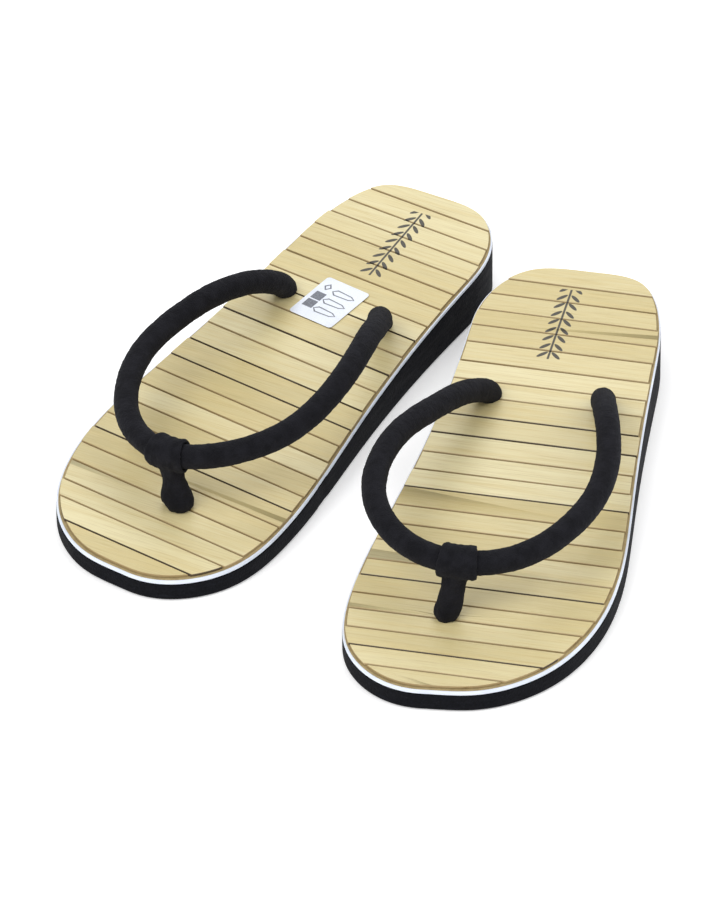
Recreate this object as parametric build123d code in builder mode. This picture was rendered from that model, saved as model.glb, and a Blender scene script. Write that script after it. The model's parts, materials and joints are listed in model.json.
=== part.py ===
from build123d import *
import os
from math import cos, radians, sin, sqrt, tan

os.makedirs("parts", exist_ok=True)

# A pair of thong slippers with a bamboo insole, standing side by side on z = 0 with
# their toes towards -Y. Each slipper is drawn in its own frame, x towards the inner
# side of the foot and y towards the toes, with the origin halfway along the sole.
# The right slipper is the mirror image. All sizes are in millimetres.

# Heights of the insole's walking surface, from a wedge heel to a thin forefoot
HEEL_END = -131.0
TOE_END = 131.0
HEEL_HEIGHT = 25.5
BALL_HEIGHT = 9.55
BALL_Y = 80.0
RAMP_BLEND = 0.25

# Layers, from the walking surface down
SLAT_THICK = 1.0
GLUE = 0.12
BACKING_THICK = 0.3
FOAM_THICK = 1.6
SLAT_GAP = 0.5
SLAT_CHAMFER = 0.25
SLAT_INSET = 1.2
SLAT_STEP = 0.35
BACKING_INSET = 0.8
FOAM_INSET = 0.1
OUTSOLE_CHAMFER = 1.2

# The forefoot bends on a line between two slats
FLEX_GAP = 0.3

# Strap, a fabric sleeve over a cord, and the toe post that loops over it
STRAP_RADIUS = 4.8
STRAP_BORE = 3.2
STRAP_CORD_RADIUS = 3.1
STRAP_CLEAR = 0.7
STRAP_HOLE_RADIUS = 3.3
POST_CORD_RADIUS = 2.2
POST_BORE = 2.3
POST_HOLE_RADIUS = 2.4
LOOP_CLEAR = 0.35
LOOP_WALL = 1.5
LOOP_LENGTH = 14.0

# Anchor plugs, sunk into the underside
PLUG_THICK = 2.4
PLUG_RECESS = 0.6
PLUG_RADIUS = 7.0
TOE_PLUG_RADIUS = 7.5
PLUG_CLEAR = 0.3
PLUG_SOCKET = 1.2
PLUG_CHAMFER = 0.4

# Paper size label on the right slipper's heel
LABEL_WIDTH = 21.0
LABEL_LENGTH = 26.0
LABEL_THICK = 0.15
LABEL_AT = (-7.6, -50.2)
LABEL_TURN = 9.0
LABEL_CLEAR = 0.25

HALF_WIDTH = 48.0
HALF_SPAN = 70.0
TALL = 60.0

OUTLINE = [
    (4, 131), (23, 127.2), (37.3, 112.5), (44, 82), (42.5, 45), (38.5, 5), (36, -35),
    (35.8, -82), (33, -111), (20, -127.5), (-4, -131), (-25, -128.5), (-36, -111),
    (-41.5, -78), (-45.5, -35), (-51, 10), (-54.8, 50), (-51.6, 82), (-38, 111), (-16.5, 127.2),
]


class Slipper:
    """One slipper's place in the pair, its slat joints and the lie of its strap."""

    def __init__(
        self, name, at, turn, mirrored, joints, flex_joint, skews, strap, post_foot, post_top, post_girth
    ):
        self.name = name
        self.at = at
        self.turn = turn
        self.mirrored = mirrored
        self.joints = joints
        self.flex_joint = flex_joint
        self.skews = skews
        self.strap = strap
        self.post_foot = post_foot
        self.post_top = post_top
        self.post_girth = post_girth


RIGHT = Slipper(
    name="right",
    at=(-30.24, 34.76),
    turn=150.71,
    mirrored=True,
    joints=[
        -120.5, -110, -100, -90, -79.5, -69, -57.5, -47.5, -36.5, -24.5, -13.5, -1,
        11, 21.5, 32, 43, 54.5, 64.5, 75, 86, 97.5, 107, 118.5,
    ],
    flex_joint=15,
    skews=(4.3, 7.6),
    strap=[
        (-27, -49, 0), (-26.5, -42, 9), (-28.5, -29, 18), (-34, -10, 24.3), (-40, 12, 25.5),
        (-42.5, 35, 24.7), (-37, 58, 23.7), (-23, 77.5, 22.8), (-2, 86, 23.2), (22, 78, 26.5),
        (38, 60, 31), (42.5, 37, 34), (40, 13, 33), (34, -9, 27), (27, -28, 17), (20.5, -41, 8),
        (18, -46, 0),
    ],
    post_foot=(2.2, 87),
    post_top=(-2, 86, 23.2),
    post_girth=1.22,
)
LEFT = Slipper(
    name="left",
    at=(56.47, -31.44),
    turn=165.95,
    mirrored=False,
    joints=[
        -119, -109, -98.5, -88.5, -78, -66, -55, -45, -33, -21, -9, 2, 13, 24.5, 35.5,
        46, 58, 68, 79, 88.5, 99.5, 110, 121,
    ],
    flex_joint=15,
    skews=(0, 1),
    strap=[
        (-27, -49, 0), (-28, -42, 8.5), (-31, -29, 17), (-36, -11, 24.5), (-41.5, 11, 26.5),
        (-42.3, 34, 25.5), (-35.5, 56.5, 24.7), (-21.5, 75, 23.7), (0.5, 83.5, 23.7), (24, 78, 26.2),
        (38.5, 60.5, 30.3), (41, 37, 32), (37, 15, 29.5), (30.5, -6, 23.5), (24.5, -27, 15),
        (20, -40, 7), (18, -46, 0),
    ],
    post_foot=(4.4, 87.4),
    post_top=(0.5, 83.5, 23.7),
    post_girth=1.0,
)


def insole_height(y):
    """Height of the walking surface, a straight ramp that levels out at the ball."""
    along = (BALL_Y - y) / (BALL_Y - HEEL_END)
    eased = (along + sqrt(along * along + RAMP_BLEND**2)) / (1 + sqrt(1 + RAMP_BLEND**2))
    return BALL_HEIGHT + (HEEL_HEIGHT - BALL_HEIGHT) * eased


def on_insole(x, y, rise):
    return (x, y, insole_height(y) + rise)


def skew_at(slipper, y):
    """Angle of a slat joint to the slipper's width, in degrees."""
    heel, ball = slipper.skews
    share = min(max((y - HEEL_END) / -HEEL_END, 0), 1)
    return heel + (ball - heel) * share


def flex_plane(slipper, shift):
    """Upright plane along the flex joint, facing the toes."""
    y = slipper.joints[slipper.flex_joint]
    skew = radians(skew_at(slipper, y))
    return Plane(origin=(0, y + shift, 0), z_dir=(-sin(skew), cos(skew), 0))


def placed(local, slipper):
    """Moves a finished piece from its slipper's frame to its place in the pair."""
    piece = mirror(local, about=Plane.YZ) if slipper.mirrored else local
    return Pos(*slipper.at, 0) * Rot(0, 0, slipper.turn) * piece


def outline_face(inset):
    """The sole seen from above, drawn smaller by inset at its sides and its ends."""
    narrower = 1 - inset / HALF_WIDTH
    shorter = 1 - inset / TOE_END
    with BuildSketch() as face:
        with BuildLine():
            Spline(*[(x * narrower, y * shorter) for x, y in OUTLINE], periodic=True)
        make_face()
    return face.sketch


def side_points(slipper, top_drop, bottom_drop):
    """Side view of a layer: flat facets between the slat joints. No bottom drop: down to z = 0."""
    stations = [HEEL_END - 5, *slipper.joints, TOE_END + 5]
    upper = [(y, insole_height(y) - top_drop) for y in stations]
    if bottom_drop is None:
        return [*upper, (stations[-1], 0), (stations[0], 0)]
    return [*upper, *((y, insole_height(y) - bottom_drop) for y in reversed(stations))]


def layer(slipper, inset, top_drop, bottom_drop, half):
    """One layer of the sole, whole across its width, and cut at the flex joint."""
    with BuildPart() as slab:
        with BuildSketch(Plane.YZ.offset(-HALF_SPAN)):
            with BuildLine():
                Polyline(*side_points(slipper, top_drop, bottom_drop), close=True)
            make_face()
        extrude(amount=2 * HALF_SPAN)
        with BuildSketch():
            add(outline_face(inset))
        extrude(amount=TALL, mode=Mode.INTERSECT)
        if half == "rear":
            split(bisect_by=flex_plane(slipper, -FLEX_GAP / 2), keep=Keep.BOTTOM)
        else:
            split(bisect_by=flex_plane(slipper, FLEX_GAP / 2), keep=Keep.TOP)
        with Locations((*slipper.strap[0][:2], 0), (*slipper.strap[-1][:2], 0)):
            Cylinder(STRAP_HOLE_RADIUS, 2 * TALL, mode=Mode.SUBTRACT)
        with Locations((*slipper.post_foot, 0)):
            Cylinder(POST_HOLE_RADIUS, 2 * TALL, mode=Mode.SUBTRACT)
    return slab.part


def backing_top():
    return SLAT_THICK + GLUE


def foam_top():
    return backing_top() + BACKING_THICK


def outsole_top():
    return foam_top() + FOAM_THICK


def outsole(slipper, half):
    """Black foam wedge, with sunk seats for the anchor plugs in its underside."""
    depth = PLUG_THICK + PLUG_RECESS
    with BuildPart() as sole:
        add(layer(slipper, 0, outsole_top(), None, half))
        rim = sole.faces().sort_by(Axis.Z)[0].outer_wire().edges()
        chamfer(rim.filter_by(GeomType.LINE, reverse=True), OUTSOLE_CHAMFER)
        if half == "rear":
            with Locations((*slipper.strap[0][:2], 0), (*slipper.strap[-1][:2], 0)):
                Cylinder(PLUG_RADIUS + PLUG_CLEAR, 2 * depth, mode=Mode.SUBTRACT)
        else:
            with Locations((*slipper.post_foot, 0)):
                Cylinder(TOE_PLUG_RADIUS + PLUG_CLEAR, 2 * depth, mode=Mode.SUBTRACT)
    return sole.part


def slat(slipper, number):
    """One flat bamboo slat between two joints, its ends cut just inside the sole's edge."""
    near = HEEL_END - 9 if number == 0 else slipper.joints[number - 1] + SLAT_GAP / 2
    last = number == len(slipper.joints)
    far = TOE_END + 9 if last else slipper.joints[number] - SLAT_GAP / 2
    near_skew = tan(radians(skew_at(slipper, near)))
    far_skew = tan(radians(skew_at(slipper, far)))
    slope = (insole_height(far) - insole_height(near)) / (far - near)
    middle = (near + far) / 2
    lift = insole_height(middle) - SLAT_THICK / 2 + GLUE * sin(5 * number) / 2
    inset = SLAT_INSET + SLAT_STEP * (number % 3)
    with BuildPart() as board:
        with BuildSketch():
            with BuildLine():
                Polyline(
                    (-HALF_SPAN, near - HALF_SPAN * near_skew),
                    (HALF_SPAN, near + HALF_SPAN * near_skew),
                    (HALF_SPAN, far + HALF_SPAN * far_skew),
                    (-HALF_SPAN, far - HALF_SPAN * far_skew),
                    close=True,
                )
            make_face()
            add(outline_face(inset), mode=Mode.INTERSECT)
        extrude(amount=TALL)
        lie = Plane(origin=(0, middle, lift), x_dir=(1, 0, 0), z_dir=(0, -slope, 1))
        with BuildSketch(lie):
            Rectangle(2 * HALF_SPAN, 2 * HALF_SPAN)
        extrude(amount=SLAT_THICK / 2, both=True, mode=Mode.INTERSECT)
        edges = board.faces().sort_by(Axis.Z)[-1].edges().filter_by(GeomType.LINE)
        chamfer(edges, SLAT_CHAMFER)
        with Locations((*slipper.strap[0][:2], 0), (*slipper.strap[-1][:2], 0)):
            Cylinder(STRAP_HOLE_RADIUS, 2 * TALL, mode=Mode.SUBTRACT)
        with Locations((*slipper.post_foot, 0)):
            Cylinder(POST_HOLE_RADIUS, 2 * TALL, mode=Mode.SUBTRACT)
    return board.part


def slats(slipper, half):
    """The slats behind or ahead of the flex joint, each a separate solid."""
    turn = slipper.flex_joint + 1
    numbers = range(turn) if half == "rear" else range(turn, len(slipper.joints) + 1)
    return Compound([solid for number in numbers for solid in slat(slipper, number).solids()])


def strap_line(slipper, low_rise):
    """Centre line of the strap, upright where it leaves the sole, from low_rise above the insole."""
    first = on_insole(*slipper.strap[0][:2], low_rise)
    last = on_insole(*slipper.strap[-1][:2], low_rise)
    between = [on_insole(*point) for point in slipper.strap[1:-1]]
    with BuildLine() as line:
        Spline(first, *between, last, tangents=((0, 0, 1), (0, 0, -1)), tangent_scalars=(0.6, 0.6))
    return line.edge()


def strap_cover(slipper):
    """Fabric sleeve, which ends just above the slats."""
    path = strap_line(slipper, STRAP_CLEAR)
    with BuildPart() as sleeve:
        with BuildSketch(Plane(origin=path @ 0, z_dir=path % 0)):
            Circle(STRAP_RADIUS)
            Circle(STRAP_BORE, mode=Mode.SUBTRACT)
        sweep(path=path)
    return sleeve.part


def side_plug_top():
    return PLUG_RECESS + PLUG_THICK


def strap_core(slipper):
    """Cord inside the sleeve, which goes on down through the sole into the side plugs."""
    path = strap_line(slipper, STRAP_CLEAR)
    with BuildPart() as cord:
        with BuildSketch(Plane(origin=path @ 0, z_dir=path % 0)):
            Circle(STRAP_CORD_RADIUS)
        sweep(path=path)
        for end in (0, 1):
            foot = path @ end
            with BuildSketch(Plane.XY.offset(foot.Z)):
                with Locations((foot.X, foot.Y)):
                    Circle(STRAP_CORD_RADIUS)
            extrude(amount=-(foot.Z - side_plug_top() + PLUG_SOCKET))
    return cord.part


def plug(x, y, radius, socket_radius):
    """Round anchor plug with a blind socket for a cord's end."""
    with BuildPart() as disc:
        with BuildSketch(Plane.XY.offset(PLUG_RECESS)):
            with Locations((x, y)):
                Circle(radius)
        extrude(amount=PLUG_THICK)
        rims = disc.faces().filter_by(Axis.Z).edges()
        chamfer(rims, PLUG_CHAMFER)
        with BuildSketch(Plane.XY.offset(side_plug_top())):
            with Locations((x, y)):
                Circle(socket_radius)
        extrude(amount=-PLUG_SOCKET, mode=Mode.SUBTRACT)
    return disc.part


def side_plugs(slipper):
    """The two plugs that hold the strap's ends, as separate solids."""
    ends = (slipper.strap[0], slipper.strap[-1])
    return Compound([plug(x, y, PLUG_RADIUS, STRAP_CORD_RADIUS).solid() for x, y, rise in ends])


def toe_plug(slipper):
    return plug(*slipper.post_foot, TOE_PLUG_RADIUS, POST_CORD_RADIUS)


def post_line(slipper, low):
    """Centre line of the toe post, upright in the sole and leaning to the strap above it."""
    x, y = slipper.post_foot
    top = on_insole(*slipper.post_top)
    reach = STRAP_RADIUS + LOOP_CLEAR + LOOP_WALL
    with BuildLine() as line:
        Line((x, y, low), on_insole(x, y, STRAP_CLEAR))
        Line(on_insole(x, y, STRAP_CLEAR), (top[0], top[1], top[2] - reach))
    return line.wire()


def toe_post_core(slipper):
    """Cord from the toe plug up into the toe post."""
    path = post_line(slipper, side_plug_top() - PLUG_SOCKET)
    with BuildPart() as cord:
        with BuildSketch(Plane(origin=path @ 0, z_dir=path % 0)):
            Circle(POST_CORD_RADIUS)
        sweep(path=path, transition=Transition.ROUND)
    return cord.part


def crossing_span(slipper):
    """The stretch of the strap's centre line inside the toe post's loop."""
    path = strap_line(slipper, STRAP_CLEAR)
    top = Vector(*on_insole(*slipper.post_top))
    middle = path.param_at_point(top)
    half = LOOP_LENGTH / 2 / path.length
    return path.trim(middle - half, middle + half)


def toe_post_cover(slipper):
    """Fabric toe post: a bulb on the sole, a narrower neck, and a loop round the strap."""
    x, y = slipper.post_foot
    top_x, top_y, rise = slipper.post_top
    loop = crossing_span(slipper)
    bulb = slipper.post_girth
    # share of the way up, half width across the foot, half depth along it
    sections = (
        (0, 4.6 * bulb, 3.9 * bulb),
        (0.2, 5.3 * bulb, 4.6 * bulb),
        (0.5, 4.7, 4.2),
        (0.72, 5.0, 4.4),
        (0.95, 6.4, 4.6),
    )
    with BuildPart() as post:
        for share, half_width, half_depth in sections:
            height = insole_height(y) + STRAP_CLEAR + share * (rise - STRAP_CLEAR)
            centre = (x + share * (top_x - x), y + share * (top_y - y))
            with BuildSketch(Plane.XY.offset(height)):
                with Locations(centre):
                    Ellipse(half_width, half_depth)
        loft()
        with BuildSketch(Plane(origin=loop @ 0, z_dir=loop % 0)):
            Circle(STRAP_RADIUS + LOOP_CLEAR + LOOP_WALL)
        sweep(path=loop)
        around = strap_line(slipper, STRAP_CLEAR)
        with BuildSketch(Plane(origin=around @ 0, z_dir=around % 0)):
            Circle(STRAP_RADIUS + LOOP_CLEAR)
        sweep(path=around, mode=Mode.SUBTRACT)
        bore = post_line(slipper, 0)
        with BuildSketch(Plane(origin=bore @ 0, z_dir=bore % 0)):
            Circle(POST_BORE)
        sweep(path=bore, transition=Transition.ROUND, mode=Mode.SUBTRACT)
    return post.part


def size_label(slipper):
    """Paper label on the slats between the strap's ends."""
    x, y = LABEL_AT
    slope = (insole_height(y + 1) - insole_height(y - 1)) / 2
    lie = Plane(origin=on_insole(x, y, LABEL_CLEAR), x_dir=(1, 0, 0), z_dir=(0, -slope, 1))
    with BuildPart() as paper:
        with BuildSketch(lie.rotated((0, 0, LABEL_TURN))):
            RectangleRounded(LABEL_WIDTH, LABEL_LENGTH, 1.5)
        extrude(amount=LABEL_THICK)
    return paper.part


def save(name, slipper, local):
    piece = placed(local, slipper)
    piece.label = name
    export_step(piece, f"parts/{name}.step")


for slipper in (RIGHT, LEFT):
    side = slipper.name
    for half in ("rear", "forefoot"):
        save(f"{side}_outsole_{half}", slipper, outsole(slipper, half))
        foam = layer(slipper, FOAM_INSET, foam_top(), outsole_top(), half)
        save(f"{side}_foam_{half}", slipper, foam)
        backing = layer(slipper, BACKING_INSET, backing_top(), foam_top(), half)
        save(f"{side}_backing_{half}", slipper, backing)
        save(f"{side}_slats_{half}", slipper, slats(slipper, half))
    save(f"{side}_strap_cover", slipper, strap_cover(slipper))
    save(f"{side}_strap_core", slipper, strap_core(slipper))
    save(f"{side}_side_plugs", slipper, side_plugs(slipper))
    save(f"{side}_toe_post_cover", slipper, toe_post_cover(slipper))
    save(f"{side}_toe_post_core", slipper, toe_post_core(slipper))
    save(f"{side}_toe_plug", slipper, toe_plug(slipper))
save("size_label", RIGHT, size_label(RIGHT))
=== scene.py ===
import json
from math import atan2, cos, pi, radians, sin
from random import Random

import bmesh
import bpy
import numpy as np
from mathutils import Matrix, Vector, noise


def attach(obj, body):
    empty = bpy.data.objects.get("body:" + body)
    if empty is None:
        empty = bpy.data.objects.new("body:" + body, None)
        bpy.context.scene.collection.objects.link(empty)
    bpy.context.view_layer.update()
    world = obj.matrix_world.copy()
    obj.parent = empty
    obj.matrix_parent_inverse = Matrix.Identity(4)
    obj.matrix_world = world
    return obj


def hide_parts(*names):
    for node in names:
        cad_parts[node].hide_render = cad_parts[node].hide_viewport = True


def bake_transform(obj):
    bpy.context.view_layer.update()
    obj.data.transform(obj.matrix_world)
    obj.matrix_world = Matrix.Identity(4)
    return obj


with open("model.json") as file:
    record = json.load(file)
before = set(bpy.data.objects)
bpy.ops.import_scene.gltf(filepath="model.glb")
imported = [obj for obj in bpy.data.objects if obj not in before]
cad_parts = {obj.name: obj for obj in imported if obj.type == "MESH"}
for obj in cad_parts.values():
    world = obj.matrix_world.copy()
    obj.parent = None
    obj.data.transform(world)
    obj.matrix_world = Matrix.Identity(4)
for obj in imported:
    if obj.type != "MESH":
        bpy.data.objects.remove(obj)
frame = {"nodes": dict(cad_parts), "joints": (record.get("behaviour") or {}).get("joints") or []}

# A pair of thong slippers with bamboo insoles. Sizes are in millimetres, in each slipper's own
# frame: x towards the inner side of the foot, y towards the toes, z up. The right one is mirrored.
MM = 0.001
SIDES = ("right", "left")
MIRROR = {"right": -1, "left": 1}

# Where the flex line crosses the slipper, and its skew in degrees
FLEX_Y = {"right": 43.0, "left": 46.0}
FLEX_SKEW = {"right": -7.6, "left": 1.0}

# CAD points closer together than this are joined
SEAM_GAP = 0.002

# Spans given to bend(): for the sole from the flex line to this far ahead of it, for the strap over its
# whole arch. bend() does not read them, so nothing bends.
FLEX_REACH = 25.0
STRAP_BEND = (-10.0, 72.0)

# A layer is measured at this many steps. A median over a few of them hides the CAD's cut line.
STATIONS = 190
EDGE_WINDOW = 7
FEWEST_POINTS = 4

# Where a layer's bottom is lower than this, it is flat at the layer's lowest height
LOW_BOTTOM = 2.0
ACROSS = 22

# Rounded edges, each with a ring of faces just inside it that keeps the flat faces' shading flat
WALL_HOLD = 0.6
WALL_MIDDLE = (0.66, 0.33)
CORNER_STEPS = 5
OUTSOLE_TOP_ROUND = 0.45
OUTSOLE_LOW_ROUND = 1.3
MIDSOLE_ROUND = 0.35
CLOTH_ROUND = 0.05

PLUG_SEAT_RADIUS = 7.3
TOE_SEAT_RADIUS = 7.8
PLUG_SEAT_DEPTH = 3.0
SEAT_SEGMENTS = 64
ABOVE_PLUGS = 4.0

STRAP_RADIUS = 4.8
POST_RADIUS = {"right": 5.4, "left": 4.5}
FABRIC_VOXEL = 0.45

# The stub of a fabric tube at the insole. Its base and top are shares of the tube's radius.
TUCK_DEPTH = 1.0
STUB_BASE = 0.78
STUB_TOP = 0.97
STUB_REACH = 1.0
STUB_SEGMENTS = 40

# Lumps in the fabric: their height, and their size along x, y and z
STRAP_LUMPS = [(0.14, (9, 9, 9)), (0.12, (2.2, 2.2, 2.2)), (0.1, (0.9, 0.9, 0.9))]
STRAP_SMOOTHING = 6
POST_PUCKERS = [(0.4, (1.8, 5, 5)), (0.25, (3.2, 3.2, 3.2)), (0.1, (0.9, 0.9, 0.9))]
POST_SMOOTHING = 16

# Joints between slats, counted from the heel, that show as darkened lines of painted shadow
SHADOWED_JOINTS = {"right": (11, 12, 7, 9, 17, 22), "left": (9, 17, 21, 8, 12)}

# How strongly painted shadow darkens those joints, and how strongly painted shade darkens every slat's
# upright faces
PAINTED_JOINT_SHADOW = 0.9
PAINTED_EDGE_SHADE = 0.75

# A face with less than the first in its normal's z is an edge, and one with more than the second
# in its normal's y faces the next slat
TOP_NORMAL = 0.9
JOINT_NORMAL = 0.5

# One knot on the left insole. The right one has none, so its place is off the slipper.
KNOT = {"right": (-200.0, 0.0, 0.0), "left": (30.0, 24.0, 17.4)}
KNOT_RADIUS = 1.3

# Leaf sprig printed along each heel
SPRIG_X = {"right": -2.0, "left": 1.0}
SPRIG_ENDS = (-117.0, -73.0)
SPRIG_STEM = 0.32
LEAF_PITCH = 5.2
LEAF_LENGTH = 2.7
LEAF_WIDTH = 0.85
LEAF_OUT = 2.7
SPRIG_INK = 0.95

# Marks printed on the label
MARK_LIFT = 0.04
DIAMOND_LINE = 0.8
SQUARE_SIZE = 4.8
POD_LINE = 0.6

CAMERA_TARGET = Vector((-0.00087, 0.00941, 0))
CAMERA_DISTANCE = 3.1297
CAMERA_TILT = radians(35.74)
CAMERA_ROLL = radians(-0.70)
CAMERA_LENS = 320
CAMERA_SENSOR = 36

# Lamps with their place and power, and the floor, in metres
LAMP_SIZE = 1.4
LAMPS = {
    "key": ((-0.9, -1.1, 1.7), 23),
    "fill": ((1.2, -0.5, 1.5), 12),
    "back": ((0.1, 1.3, 1.4), 11),
}
WORLD_STRENGTH = 0.5
FLOOR_GLOW = 0.3
FLOOR_HALF = 3.0
FLOOR_DROP = 0.0002


def place_of(side):
    """The matrix from a slipper's own frame in millimetres to the row frame in metres."""
    joint = next(j for j in frame["joints"] if j["name"] == f"{side}_forefoot_flex")
    axis = joint["axis"]
    turn = Matrix.Rotation(atan2(axis[1], axis[0]) - radians(FLEX_SKEW[side]), 4, "Z")
    hinge = Vector((*joint["pos_m"][:2], 0))
    at = hinge - turn @ Vector((0, FLEX_Y[side] * MM, 0))
    return Matrix.Translation(at) @ turn @ Matrix.Diagonal((MIRROR[side] * MM, MM, MM, 1))


PLACES = {side: place_of(side) for side in SIDES}


def points_of(mesh):
    """A mesh's points, one in each row."""
    flat = np.empty(3 * len(mesh.vertices), np.float32)
    mesh.vertices.foreach_get("co", flat)
    return flat.reshape(-1, 3).astype(float)


def cad_edges(side, *nodes):
    """Both ends of each mesh edge of CAD nodes, in the slipper's own frame."""
    to_local = np.array(PLACES[side].inverted())
    found = []
    for node in nodes:
        mesh = frame["nodes"][f"{side}_{node}"].data
        points = points_of(mesh) @ to_local[:3, :3].T + to_local[:3, 3]
        pairs = np.array([edge.vertices[:] for edge in mesh.edges])
        found.append(points[pairs])
    return np.concatenate(found)


def cut(edges, point, normal):
    """The points where mesh edges cross a plane."""
    heights = (edges - np.array(point)) @ np.array(normal, float)
    crossing = heights[:, 0] * heights[:, 1] < 0
    edges = edges[crossing]
    heights = heights[crossing]
    share = heights[:, :1] / (heights[:, :1] - heights[:, 1:])
    return edges[:, 0] + share * (edges[:, 1] - edges[:, 0])


def cad_mesh(side, *nodes):
    """A copy of CAD nodes as one mesh in the slipper's own frame, with its seams joined."""
    work = bmesh.new()
    for node in nodes:
        work.from_mesh(frame["nodes"][f"{side}_{node}"].data)
    bmesh.ops.transform(work, matrix=PLACES[side].inverted(), verts=work.verts)
    bmesh.ops.remove_doubles(work, verts=work.verts, dist=SEAM_GAP)
    bmesh.ops.recalc_face_normals(work, faces=work.faces)
    mesh = bpy.data.meshes.new("copy")
    work.to_mesh(mesh)
    work.free()
    return mesh


def evaluated(mesh, *modifiers):
    """A mesh after these modifiers, each given as its type and its settings."""
    carrier = bpy.data.objects.new("carrier", mesh)
    bpy.context.scene.collection.objects.link(carrier)
    for kind, settings in modifiers:
        modifier = carrier.modifiers.new(kind, kind)
        for name, value in settings.items():
            setattr(modifier, name, value)
    result = bpy.data.meshes.new_from_object(
        carrier.evaluated_get(bpy.context.evaluated_depsgraph_get())
    )
    bpy.data.objects.remove(carrier)
    return result


def roughened(mesh, layers):
    """Moves each vertex along its normal by noise. A layer is its height and its size along x, y, z."""
    points = points_of(mesh)
    normals = np.empty(3 * len(mesh.vertices), np.float32)
    mesh.vertex_normals.foreach_get("vector", normals)
    shifts = [
        sum(high * noise.noise(Vector(p / np.array(size))) for high, size in layers) for p in points
    ]
    points += normals.reshape(-1, 3) * np.array(shifts)[:, None]
    mesh.vertices.foreach_set("co", points.astype(np.float32).ravel())
    mesh.update()
    return mesh


def settled(name, mesh, side, material):
    """Writes each vertex's place into the mesh for its material, and puts the piece in the row frame."""
    rest = mesh.attributes.new("rest", "FLOAT_VECTOR", "POINT")
    rest.data.foreach_set("vector", points_of(mesh).astype(np.float32).ravel())
    mesh.transform(PLACES[side])
    if MIRROR[side] < 0:
        mesh.flip_normals()
    mesh.materials.clear()
    mesh.materials.append(material)
    mesh.name = name
    piece = bpy.data.objects.new(name, mesh)
    bpy.context.scene.collection.objects.link(piece)
    return piece


def bend(piece, side, start_y, end_y):
    """Bakes a piece's placement into its mesh, without bending it. The two places along the slipper are
    not used.
    """
    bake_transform(piece)


def bend_with_sole(piece, side):
    bend(piece, side, FLEX_Y[side], FLEX_Y[side] + FLEX_REACH)


def stations(side, *nodes):
    """Edges, top and bottom of a sole layer, at steps along the foot that close up at its ends."""
    edges = cad_edges(side, *nodes)
    low = edges[:, :, 1].min()
    high = edges[:, :, 1].max()
    rows = []
    for step in range(1, STATIONS):
        y = (low + high) / 2 - (high - low) / 2 * cos(pi * step / STATIONS)
        points = cut(edges, (0, y, 0), (0, 1, 0))
        if len(points) >= FEWEST_POINTS:
            wide = points[:, 0]
            tall = points[:, 2]
            rows.append((wide.min(), wide.max(), y, tall.max(), tall.min()))
    rows = np.array(rows)
    rows[:, 4] = np.where(rows[:, 4] < LOW_BOTTOM, rows[:, 4].min(), rows[:, 4])
    for edge in (0, 1):
        windows = np.lib.stride_tricks.sliding_window_view(rows[:, edge], EDGE_WINDOW)
        trim = EDGE_WINDOW // 2
        rows[trim:-trim, edge] = np.median(windows, axis=1)
    return rows


def rounded_wall(top_round, low_round):
    """A layer's wall from its top edge to its bottom edge: inset, share of the height, and rise."""
    angles = [pi / 2 * step / CORNER_STEPS for step in range(CORNER_STEPS + 1)]
    top = [(top_round * (1 - sin(a)), 1, top_round * (cos(a) - 1)) for a in angles]
    low = [(low_round * (1 - sin(a)), 0, low_round * (1 - cos(a))) for a in reversed(angles)]
    middle = [(0, share, 0) for share in WALL_MIDDLE]
    return [(top_round + WALL_HOLD, 1, 0), *top, *middle, *low, (low_round + WALL_HOLD, 0, 0)]


def end_cap(start, ring, wall_rows):
    """Faces that close a ring of points at the heel or the toes, one strip for each step of the wall."""
    top = list(range(ACROSS))
    low = list(range(ACROSS + wall_rows - 2, 2 * ACROSS + wall_rows - 2))
    rights = [top[-1], *range(ACROSS, low[0]), low[0]]
    lefts = [top[0], *reversed(range(low[-1] + 1, ring)), low[-1]]
    faces = [(*top, rights[1], lefts[1]), (*low, lefts[-2], rights[-2])]
    for k in range(1, wall_rows - 2):
        faces.append((lefts[k], rights[k], rights[k + 1], lefts[k + 1]))
    return [tuple(start + i for i in face) for face in faces]


def slab(side, rows, wall):
    """A layer of the sole as one closed mesh, from its stations and its wall."""
    count = len(rows)
    outline = np.concatenate([rows[:, [0, 2]], rows[::-1, [1, 2]]])
    along = np.roll(outline, -1, axis=0) - np.roll(outline, 1, axis=0)
    along /= np.linalg.norm(along, axis=1)[:, None]
    inward = np.column_stack([along[:, 1], -along[:, 0]])
    lefts = []
    rights = []
    for inset, share, rise in wall:
        height = rows[:, 4] + share * (rows[:, 3] - rows[:, 4]) + rise
        moved = outline + inset * inward
        lefts.append(np.column_stack([moved[:count], height]))
        rights.append(np.column_stack([moved[count:][::-1], height]))
    across = np.linspace(0, 1, ACROSS)[:, None]
    points = []
    for i in range(count):
        points.extend(lefts[0][i] + across * (rights[0][i] - lefts[0][i]))
        points.extend(right[i] for right in rights[1:-1])
        points.extend(rights[-1][i] + across * (lefts[-1][i] - rights[-1][i]))
        points.extend(left[i] for left in lefts[-2:0:-1])
    ring = len(points) // count
    faces = end_cap(0, ring, len(wall)) + end_cap(len(points) - ring, ring, len(wall))
    for i in range(count - 1):
        for j in range(ring):
            near = i * ring + j
            next_over = i * ring + (j + 1) % ring
            faces.append((near, near + ring, next_over + ring, next_over))
    mesh = bpy.data.meshes.new("slab")
    mesh.from_pydata([tuple(p) for p in points], [], faces)
    work = bmesh.new()
    work.from_mesh(mesh)
    bmesh.ops.recalc_face_normals(work, faces=work.faces)
    work.to_mesh(mesh)
    work.free()
    mesh.shade_smooth()
    return mesh


def foot_of(side, node, inner):
    """Where a cord's leg goes into the sole, in plan. A strap has an outer and an inner leg."""
    points = cut(cad_edges(side, node), (0, 0, ABOVE_PLUGS), (0, 0, 1))[:, :2]
    if inner is not None:
        split = (points[:, 0].min() + points[:, 0].max()) / 2
        points = points[(points[:, 0] > split) == inner]
    return (points.min(axis=0) + points.max(axis=0)) / 2


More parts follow.
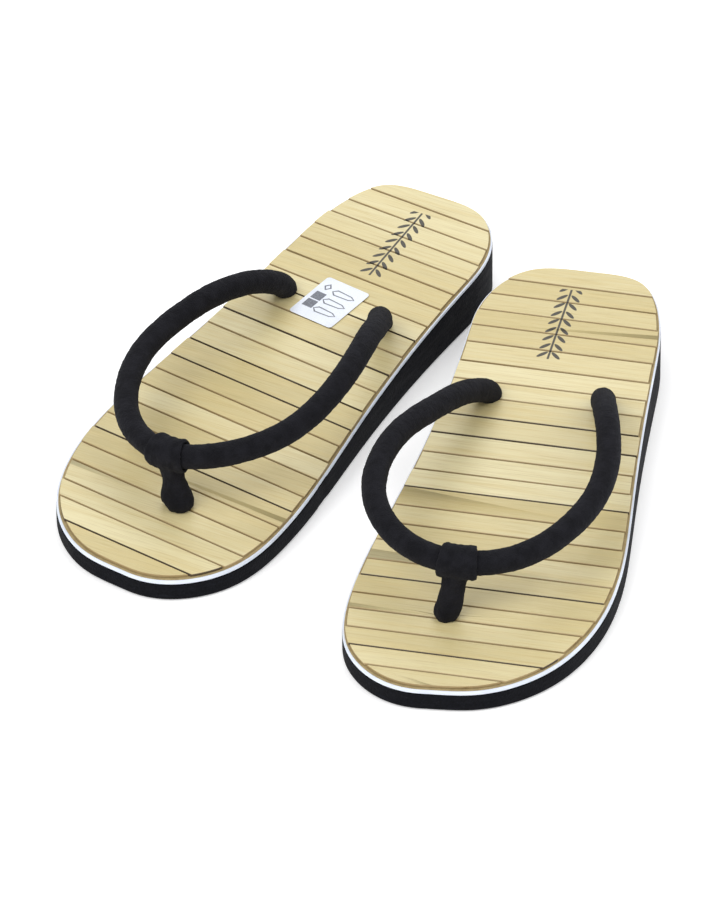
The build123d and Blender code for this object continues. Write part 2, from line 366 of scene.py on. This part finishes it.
def plug_seats(side):
    """Cutters for the three sunk seats in the underside."""
    work = bmesh.new()
    feet = [
        (foot_of(side, "strap_core", False), PLUG_SEAT_RADIUS),
        (foot_of(side, "strap_core", True), PLUG_SEAT_RADIUS),
        (foot_of(side, "toe_post_core", None), TOE_SEAT_RADIUS),
    ]
    for foot, radius in feet:
        bmesh.ops.create_cone(
            work,
            cap_ends=True,
            segments=SEAT_SEGMENTS,
            radius1=radius,
            radius2=radius,
            depth=2 * PLUG_SEAT_DEPTH,
            matrix=Matrix.Translation((*foot, 0)),
        )
    mesh = bpy.data.meshes.new("seats")
    work.to_mesh(mesh)
    work.free()
    return bpy.data.objects.new("seats", mesh)


class Look:
    """A material being built. Each call adds one shader node and returns its output."""

    def __init__(self, name):
        self.material = bpy.data.materials.new(name)
        self.material.use_nodes = True
        self.tree = self.material.node_tree
        self.surface = self.tree.nodes["Principled BSDF"]

    def feed(self, socket, value):
        if isinstance(value, bpy.types.NodeSocket):
            self.tree.links.new(value, socket)
        else:
            socket.default_value = value

    def add(self, kind, output, inputs, **settings):
        node = self.tree.nodes.new("ShaderNode" + kind)
        for name, value in settings.items():
            setattr(node, name, value)
        for name, value in inputs.items():
            self.feed(node.inputs[name], value)
        return node.outputs[output]

    def rest(self):
        """Place on the slipper at rest, in millimetres."""
        return self.add("Attribute", "Vector", {}, attribute_name="rest")

    def cad_place(self):
        """Place on a CAD node, in millimetres."""
        place = self.add("TexCoord", "Object", {})
        return self.stretched(place, (1 / MM, 1 / MM, 1 / MM))

    def value(self, name):
        return self.add("Attribute", "Fac", {}, attribute_name=name)

    def math(self, operation, *values):
        return self.add("Math", "Value", dict(enumerate(values)), operation=operation)

    def vector(self, operation, *values):
        return self.add("VectorMath", "Vector", dict(enumerate(values)), operation=operation)

    def stretched(self, place, scale):
        return self.vector("MULTIPLY", place, scale)

    def part(self, vector, axis):
        return self.add("SeparateXYZ", axis, {"Vector": vector})

    def noise(self, place, scale, detail=4.0):
        return self.add("TexNoise", "Fac", {"Vector": place, "Scale": scale, "Detail": detail})

    def cells(self, place, scale):
        return self.add("TexVoronoi", "Distance", {"Vector": place, "Scale": scale})

    def ramp(self, value, start, end, low=0.0, high=1.0):
        inputs = {"Value": value, "From Min": start, "From Max": end, "To Min": low, "To Max": high}
        return self.add("MapRange", "Result", inputs)

    def mix(self, share, first, second):
        return self.add("Mix", 2, {0: share, 6: first, 7: second}, data_type="RGBA")

    def bump(self, height, distance, strength=1.0):
        inputs = {"Height": height, "Distance": distance * MM, "Strength": strength}
        return self.add("Bump", "Normal", inputs)

    def finish(self, **inputs):
        for name, value in inputs.items():
            self.feed(self.surface.inputs[name.replace("_", " ")], value)
        return self.material


def colour(red, green, blue):
    """An sRGB colour from 0 to 255, as the shader's linear values."""
    return (*[((c / 255 + 0.055) / 1.055) ** 2.4 for c in (red, green, blue)], 1.0)


def sprig_print(look, place, stem_x):
    """Where the leaf sprig's ink lies: a stem with pairs of slanting leaves."""
    across = look.math("ABSOLUTE", look.math("SUBTRACT", look.part(place, "X"), stem_x))
    y = look.part(place, "Y")
    stem = look.ramp(across, SPRIG_STEM, SPRIG_STEM + 0.25, 1, 0)
    cell = look.math("MODULO", look.math("ADD", y, 50 * LEAF_PITCH), LEAF_PITCH)
    up = look.math("SUBTRACT", cell, LEAF_PITCH / 2)
    out = look.math("SUBTRACT", across, LEAF_OUT)
    slant = cos(pi / 4)
    length = look.math("MULTIPLY", look.math("ADD", out, up), slant / LEAF_LENGTH)
    width = look.math("MULTIPLY", look.math("SUBTRACT", out, up), slant / LEAF_WIDTH)
    reach = look.math("ADD", look.math("POWER", length, 2), look.math("POWER", width, 2))
    leaf = look.ramp(reach, 0.85, 1.1, 1, 0)
    ink = look.math("MAXIMUM", stem, leaf)
    middle = sum(SPRIG_ENDS) / 2
    half = (SPRIG_ENDS[1] - SPRIG_ENDS[0]) / 2
    beyond = look.math("ABSOLUTE", look.math("SUBTRACT", y, middle))
    return look.math("MULTIPLY", ink, look.ramp(beyond, half, half + 0.3, 1, 0))


def bamboo(side):
    """Pale slats in their own tones, with lengthwise grain, painted shade on their upright faces,
    painted shadow in the listed joints, a knot and the sprig.
    """
    look = Look(f"bamboo_{side}")
    tone = look.value("tone")
    place = look.rest()
    own = look.vector("ADD", place, look.vector("MULTIPLY", tone, (310, 170, 90)))
    grain = look.noise(look.stretched(own, (0.05, 2.6, 1)), 1.0, 6)
    fibres = look.noise(look.stretched(own, (0.12, 7, 2)), 1.0, 3)
    bands = look.noise(look.stretched(own, (0.014, 0.3, 1)), 1.0, 3)
    base = look.mix(tone, colour(196, 180, 126), colour(222, 211, 166))
    base = look.mix(look.ramp(bands, 0.42, 0.68, 0, 0.6), base, colour(207, 188, 130))
    base = look.mix(look.ramp(grain, 0.5, 0.72, 0, 0.45), base, colour(172, 148, 94))
    base = look.mix(look.ramp(fibres, 0.5, 0.8, 0, 0.25), base, colour(238, 230, 196))
    knot_place = look.vector("SUBTRACT", place, KNOT[side])
    from_knot = look.add("VectorMath", "Value", {0: knot_place}, operation="LENGTH")
    knot = look.ramp(from_knot, KNOT_RADIUS, KNOT_RADIUS / 3, 0, 0.8)
    base = look.mix(knot, base, colour(84, 58, 30))
    # Painted shade: the slats' upright faces are coloured darker brown, standing in for shade at their
    # sides and ends
    base = look.mix(look.value("edge"), base, colour(150, 122, 80))
    # Painted shadow: the slats' sides at the listed joints are coloured near-black brown, standing in
    # for shadow in those gaps
    base = look.mix(look.value("joint_shadow"), base, colour(52, 36, 20))
    sprig = look.math("MULTIPLY", sprig_print(look, place, SPRIG_X[side]), SPRIG_INK)
    base = look.mix(sprig, base, colour(30, 28, 28))
    height = look.math("ADD", grain, look.math("MULTIPLY", fibres, 0.6))
    return look.finish(
        Base_Color=base,
        Roughness=look.ramp(grain, 0.3, 0.7, 0.38, 0.55),
        Normal=look.bump(height, 0.09, 0.6),
        Coat_Weight=0.08,
        Coat_Roughness=0.35,
    )


def velour():
    """Near-black pile fabric: short fuzz that catches light at its edges, and soft lint."""
    look = Look("black_velour")
    place = look.rest()
    pile = look.cells(place, 1.9)
    lint = look.noise(place, 3.4, 5)
    lie = look.noise(place, 0.22, 3)
    base = look.mix(look.ramp(lie, 0.35, 0.7), colour(18, 18, 22), colour(28, 28, 33))
    base = look.mix(look.ramp(lint, 0.58, 0.85, 0, 0.5), base, colour(54, 55, 62))
    height = look.math("ADD", pile, look.math("MULTIPLY", lint, 0.8))
    return look.finish(
        Base_Color=base,
        Roughness=0.95,
        Normal=look.bump(height, 0.3, 0.8),
        Specular_IOR_Level=0.15,
        Sheen_Weight=0.12,
        Sheen_Roughness=0.45,
        Sheen_Tint=colour(126, 128, 138),
    )


def white_foam():
    """Bluish white foam sheet with a fine closed-cell skin and faint grubby patches."""
    look = Look("white_foam")
    place = look.rest()
    pores = look.cells(place, 2.4)
    grubby = look.noise(place, 0.06, 5)
    base = look.mix(look.ramp(grubby, 0.4, 0.75), colour(236, 240, 250), colour(214, 218, 230))
    base = look.mix(look.ramp(pores, 0.3, 0.05, 0, 0.25), base, colour(190, 196, 210))
    return look.finish(
        Base_Color=base,
        Roughness=look.ramp(grubby, 0.3, 0.7, 0.55, 0.72),
        Normal=look.bump(pores, 0.06, 0.6),
        Subsurface_Weight=0.08,
    )


def black_foam():
    """Black foam with open pores where it was cut, and dusty scuffs."""
    look = Look("black_foam")
    place = look.rest()
    pores = look.cells(place, 1.5)
    skin = look.noise(place, 1.1, 6)
    scuffs = look.noise(look.stretched(place, (0.08, 0.08, 0.5)), 1.0, 6)
    base = look.mix(look.ramp(skin, 0.35, 0.7), colour(9, 10, 14), colour(18, 19, 25))
    base = look.mix(look.ramp(scuffs, 0.58, 0.8, 0, 0.35), base, colour(44, 46, 53))
    height = look.math("ADD", pores, skin)
    return look.finish(
        Base_Color=base,
        Roughness=look.ramp(scuffs, 0.3, 0.7, 0.68, 0.85),
        Normal=look.bump(height, 0.22, 0.7),
        Specular_IOR_Level=0.1,
    )


def backing_cloth():
    """Tan plain-weave cloth, stiff with glue."""
    look = Look("backing_cloth")
    place = look.rest()
    x = look.math("SINE", look.math("MULTIPLY", look.part(place, "X"), 9))
    y = look.math("SINE", look.math("MULTIPLY", look.part(place, "Y"), 9))
    weave = look.math("MULTIPLY", x, y)
    glue = look.noise(place, 0.4, 4)
    base = look.mix(look.ramp(weave, -1, 1), colour(150, 130, 90), colour(186, 168, 122))
    base = look.mix(look.ramp(glue, 0.4, 0.7, 0, 0.5), base, colour(136, 116, 78))
    return look.finish(
        Base_Color=base,
        Roughness=look.ramp(glue, 0.3, 0.7, 0.6, 0.9),
        Normal=look.bump(weave, 0.05, 0.8),
    )


def braided_cord():
    """Unbleached braid, from slanting strands that cross."""
    look = Look("braided_cord")
    place = look.cad_place()
    strands = look.cells(look.stretched(place, (1.2, 1.2, 0.7)), 1.1)
    fuzz = look.noise(place, 3, 5)
    base = look.mix(look.ramp(strands, 0.1, 0.6), colour(226, 222, 210), colour(158, 152, 138))
    base = look.mix(look.ramp(fuzz, 0.5, 0.8, 0, 0.4), base, colour(240, 238, 230))
    height = look.math("ADD", strands, look.math("MULTIPLY", fuzz, 0.3))
    return look.finish(
        Base_Color=base,
        Roughness=look.ramp(fuzz, 0.3, 0.7, 0.8, 0.95),
        Normal=look.bump(height, 0.3, 0.8),
    )


def plug_rubber():
    """Moulded black rubber, worn grey where it rubs."""
    look = Look("plug_rubber")
    place = look.cad_place()
    wear = look.noise(place, 0.35, 6)
    skin = look.noise(place, 2.5, 4)
    base = look.mix(look.ramp(wear, 0.45, 0.75), colour(30, 31, 34), colour(66, 66, 68))
    return look.finish(
        Base_Color=base,
        Roughness=look.ramp(wear, 0.35, 0.7, 0.42, 0.7),
        Normal=look.bump(skin, 0.08, 0.6),
    )


def label_paper():
    """Smooth bluish white sticker paper with faint fibres and a handled, dented face."""
    look = Look("label_paper")
    place = look.cad_place()
    fibres = look.noise(look.stretched(place, (1, 3, 1)), 1.4, 6)
    dents = look.noise(place, 0.12, 3)
    base = look.mix(look.ramp(fibres, 0.4, 0.7), colour(232, 237, 246), colour(216, 222, 234))
    base = look.mix(look.ramp(dents, 0.5, 0.75, 0, 0.4), base, colour(205, 211, 224))
    return look.finish(
        Base_Color=base,
        Roughness=look.ramp(dents, 0.3, 0.7, 0.3, 0.48),
        Normal=look.bump(dents, 0.5, 0.5),
    )


def printed_ink():
    """Grey sticker ink, a little patchy."""
    look = Look("printed_ink")
    patches = look.noise(look.cad_place(), 1.6, 5)
    base = look.mix(look.ramp(patches, 0.35, 0.7), colour(92, 96, 106), colour(128, 132, 142))
    return look.finish(Base_Color=base, Roughness=look.ramp(patches, 0.3, 0.7, 0.4, 0.55))


def floor_finish():
    """Matt white board with the faintest mottle, which glows a little to stay white in soft light."""
    look = Look("floor_board")
    mottle = look.noise(look.cad_place(), 0.01, 4)
    base = look.mix(look.ramp(mottle, 0.3, 0.7), colour(250, 250, 250), colour(247, 247, 248))
    return look.finish(
        Base_Color=base,
        Roughness=0.9,
        Specular_IOR_Level=0.1,
        Emission_Color=colour(255, 255, 255),
        Emission_Strength=FLOOR_GLOW,
    )


def outsole(side, material):
    wall = rounded_wall(OUTSOLE_TOP_ROUND, OUTSOLE_LOW_ROUND)
    mesh = slab(side, stations(side, "outsole_rear", "outsole_forefoot"), wall)
    seats = plug_seats(side)
    carved = {"object": seats, "operation": "DIFFERENCE", "solver": "EXACT"}
    mesh = evaluated(mesh, ("BOOLEAN", carved))
    bpy.data.objects.remove(seats)
    piece = settled(f"{side}_foam_sole", mesh, side, material)
    bend_with_sole(piece, side)
    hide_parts(f"{side}_outsole_rear", f"{side}_outsole_forefoot")


def midsole(side, material):
    wall = rounded_wall(MIDSOLE_ROUND, MIDSOLE_ROUND)
    mesh = slab(side, stations(side, "foam_rear", "foam_forefoot"), wall)
    piece = settled(f"{side}_white_midsole", mesh, side, material)
    bend_with_sole(piece, side)
    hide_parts(f"{side}_foam_rear", f"{side}_foam_forefoot")


def backing(side, material):
    rows = stations(side, "backing_rear", "backing_forefoot")
    mesh = slab(side, rows, rounded_wall(CLOTH_ROUND, CLOTH_ROUND))
    piece = settled(f"{side}_backing_cloth", mesh, side, material)
    bend_with_sole(piece, side)
    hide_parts(f"{side}_backing_rear", f"{side}_backing_forefoot")


def solids_of(work):
    """The separate solids of a mesh as lists of faces, from the heel to the toes."""
    waiting = set(work.faces)
    solids = []
    for first in work.faces:
        if first not in waiting:
            continue
        waiting.remove(first)
        solid = [first]
        for face in solid:
            for edge in face.edges:
                for other in edge.link_faces:
                    if other in waiting:
                        waiting.remove(other)
                        solid.append(other)
        solids.append(solid)
    return sorted(solids, key=lambda faces: np.mean([v.co.y for f in faces for v in f.verts]))


def slats(side, material):
    """The bamboo slats, with a tone for each one and marks on its edge faces for the material's painted
    shade and painted joint shadows.
    """
    mesh = cad_mesh(side, "slats_rear", "slats_forefoot")
    work = bmesh.new()
    work.from_mesh(mesh)
    tone = work.faces.layers.float.new("tone")
    edge = work.faces.layers.float.new("edge")
    joint_shadow = work.faces.layers.float.new("joint_shadow")
    draw = Random(f"{side} slats")
    for number, solid in enumerate(solids_of(work)):
        own_tone = draw.random()
        for face in solid:
            face[tone] = own_tone
            upright = face.normal.z < TOP_NORMAL
            # Upright faces carry painted shade
            face[edge] = PAINTED_EDGE_SHADE if upright else 0.0
            # Sides facing a listed joint carry a deeper painted shadow
            lengthwise = upright and abs(face.normal.y) > JOINT_NORMAL
            joint = number if face.normal.y > 0 else number - 1
            face[joint_shadow] = PAINTED_JOINT_SHADOW if lengthwise and joint in SHADOWED_JOINTS[side] else 0.0
    work.to_mesh(mesh)
    work.free()
    piece = settled(f"{side}_bamboo_slats", mesh, side, material)
    bend_with_sole(piece, side)
    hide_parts(f"{side}_slats_rear", f"{side}_slats_forefoot")


def tucked(mesh, feet):
    """Adds the stub by which a fabric tube goes into the insole at each foot, narrower at its base."""
    points = points_of(mesh)
    work = bmesh.new()
    work.from_mesh(mesh)
    for foot, radius in feet:
        near = np.hypot(points[:, 0] - foot[0], points[:, 1] - foot[1]) < radius + STUB_REACH
        low = points[near, 2].min()
        bmesh.ops.create_cone(
            work,
            cap_ends=True,
            segments=STUB_SEGMENTS,
            radius1=STUB_BASE * radius,
            radius2=STUB_TOP * radius,
            depth=3 * TUCK_DEPTH,
            matrix=Matrix.Translation((*foot, low + TUCK_DEPTH / 2)),
        )
    work.to_mesh(mesh)
    work.free()
    return mesh


def fabric_skin(mesh, smoothing, layers):
    """A padded fabric skin over a plain shape: even, softened and slightly lumpy."""
    remesh = ("REMESH", {"mode": "VOXEL", "voxel_size": FABRIC_VOXEL})
    smooth = ("SMOOTH", {"iterations": smoothing, "factor": 0.5})
    mesh = roughened(evaluated(mesh, remesh, smooth), layers)
    mesh.shade_smooth()
    return mesh


def strap(side, material):
    feet = [(foot_of(side, "strap_core", inner), STRAP_RADIUS) for inner in (False, True)]
    mesh = tucked(cad_mesh(side, "strap_cover"), feet)
    mesh = fabric_skin(mesh, STRAP_SMOOTHING, STRAP_LUMPS)
    piece = settled(f"{side}_velour_strap", mesh, side, material)
    bend(piece, side, *STRAP_BEND)
    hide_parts(f"{side}_strap_cover")


def strap_cord(side, material):
    mesh = cad_mesh(side, "strap_core")
    mesh.shade_smooth()
    piece = settled(f"{side}_strap_cord", mesh, side, material)
    bend(piece, side, *STRAP_BEND)
    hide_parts(f"{side}_strap_core")


def toe_post(side, material):
    foot = foot_of(side, "toe_post_core", None)
    mesh = tucked(cad_mesh(side, "toe_post_cover"), [(foot, POST_RADIUS[side])])
    mesh = fabric_skin(mesh, POST_SMOOTHING, POST_PUCKERS)
    piece = settled(f"{side}_velour_toe_post", mesh, side, material)
    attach(piece, f"{side}_forefoot")
    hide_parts(f"{side}_toe_post_cover")


def label_directions():
    """The label's centre on its upper face, and its directions across, along and up."""
    points = points_of(frame["nodes"]["size_label"].data)
    centre = points.mean(axis=0)
    along, across, up = np.linalg.svd(points - centre)[2]
    toes = np.array(PLACES["right"].to_3x3() @ Vector((0, 1, 0)))
    along = along if along @ toes > 0 else -along
    up = up if up[2] > 0 else -up
    across = np.cross(along, up)
    thick = (points - centre) @ up
    return centre + up * (thick.max() + MARK_LIFT * MM), across, along, up


def ring_shape(corners, thickness):
    """An outline of even thickness round a convex shape, as points and quads."""
    outer = np.array(corners, float)
    middle = outer.mean(axis=0)
    inner = middle + (outer - middle) * (1 - thickness / np.abs(outer - middle).max(axis=0))
    count = len(outer)
    quads = [(i, (i + 1) % count, count + (i + 1) % count, count + i) for i in range(count)]
    return np.concatenate([outer, inner]), quads


def rectangle(x, y, width, height):
    w = width / 2
    h = height / 2
    return [(x - w, y - h), (x + w, y - h), (x + w, y + h), (x - w, y + h)]


def label_marks(material):
    """Generic printed marks on the label: a diamond, two solid squares and three outlined shapes."""
    diamond = [(6.4, -9.6), (8.2, -7.4), (6.4, -5.2), (4.6, -7.4)]
    shapes = [ring_shape(diamond, DIAMOND_LINE)]
    for y in (-0.9, 4.6):
        square = rectangle(6.2, y, SQUARE_SIZE, SQUARE_SIZE)
        shapes.append((np.array(square, float), [(0, 1, 2, 3)]))
    for y in (-6.2, 0.0, 6.2):
        pod = [(3.4, y), (1.6, y + 1.9), (-5.6, y + 1.4), (-7.8, y), (-5.6, y - 1.4), (1.6, y - 1.9)]
        shapes.append(ring_shape(pod, POD_LINE))
    centre, across, along, up = label_directions()
    points = []
    faces = []
    for flat, quads in shapes:
        start = len(points)
        points.extend(tuple(centre + (x * across + y * along) * MM) for x, y in flat)
        faces.extend(tuple(start + i for i in quad) for quad in quads)
    mesh = bpy.data.meshes.new("label_marks")
    mesh.from_pydata(points, [], faces)
    mesh.materials.append(material)
    piece = bpy.data.objects.new("label_marks", mesh)
    bpy.context.scene.collection.objects.link(piece)
    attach(piece, "right_rear")


def dress(node, material):
    """Gives a CAD node that stays its material."""
    mesh = frame["nodes"][node].data
    mesh.materials.clear()
    mesh.materials.append(material)


def floor():
    mesh = bpy.data.meshes.new("floor")
    ways = ((-1, -1), (1, -1), (1, 1), (-1, 1))
    corners = [(x * FLOOR_HALF, y * FLOOR_HALF, -FLOOR_DROP) for x, y in ways]
    mesh.from_pydata(corners, [], [(0, 1, 2, 3)])
    mesh.materials.append(floor_finish())
    board = bpy.data.objects.new("floor", mesh)
    bpy.context.scene.collection.objects.link(board)


def lamp(name, at, power):
    """A soft square lamp that faces the slippers."""
    data = bpy.data.lights.new(name, "AREA")
    data.size = LAMP_SIZE
    data.energy = power
    light = bpy.data.objects.new(name, data)
    light.location = at
    light.rotation_euler = (-Vector(at)).to_track_quat("-Z", "Y").to_euler()
    bpy.context.scene.collection.objects.link(light)


def studio():
    """Even, almost shadowless light, shown without a film curve."""
    bpy.context.scene.view_settings.view_transform = "Standard"
    floor()
    for name, (at, power) in LAMPS.items():
        lamp(name, at, power)
    world = bpy.data.worlds.new("studio")
    world.use_nodes = True
    background = world.node_tree.nodes["Background"]
    background.inputs["Color"].default_value = (1.0, 1.0, 1.0, 1.0)
    background.inputs["Strength"].default_value = WORLD_STRENGTH
    bpy.context.scene.world = world


def camera():
    data = bpy.data.cameras.new("camera")
    data.lens = CAMERA_LENS
    data.sensor_width = CAMERA_SENSOR
    view = bpy.data.objects.new("camera", data)
    away = Vector((0, -cos(CAMERA_TILT), sin(CAMERA_TILT))) * CAMERA_DISTANCE
    tilt = Matrix.Rotation(pi / 2 - CAMERA_TILT, 4, "X")
    roll = Matrix.Rotation(CAMERA_ROLL, 4, "Z")
    view.matrix_world = Matrix.Translation(CAMERA_TARGET + away) @ tilt @ roll
    bpy.context.scene.collection.objects.link(view)
    bpy.context.scene.camera = view


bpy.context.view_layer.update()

FABRIC = velour()
CORD = braided_cord()
RUBBER = plug_rubber()
OUTSOLE_FOAM = black_foam()
MIDSOLE_FOAM = white_foam()
CLOTH = backing_cloth()
for side in SIDES:
    outsole(side, OUTSOLE_FOAM)
    midsole(side, MIDSOLE_FOAM)
    backing(side, CLOTH)
    slats(side, bamboo(side))
    strap(side, FABRIC)
    strap_cord(side, CORD)
    toe_post(side, FABRIC)
    dress(f"{side}_toe_post_core", CORD)
    dress(f"{side}_side_plugs", RUBBER)
    dress(f"{side}_toe_plug", RUBBER)
dress("size_label", label_paper())
label_marks(printed_ink())
studio()
camera()
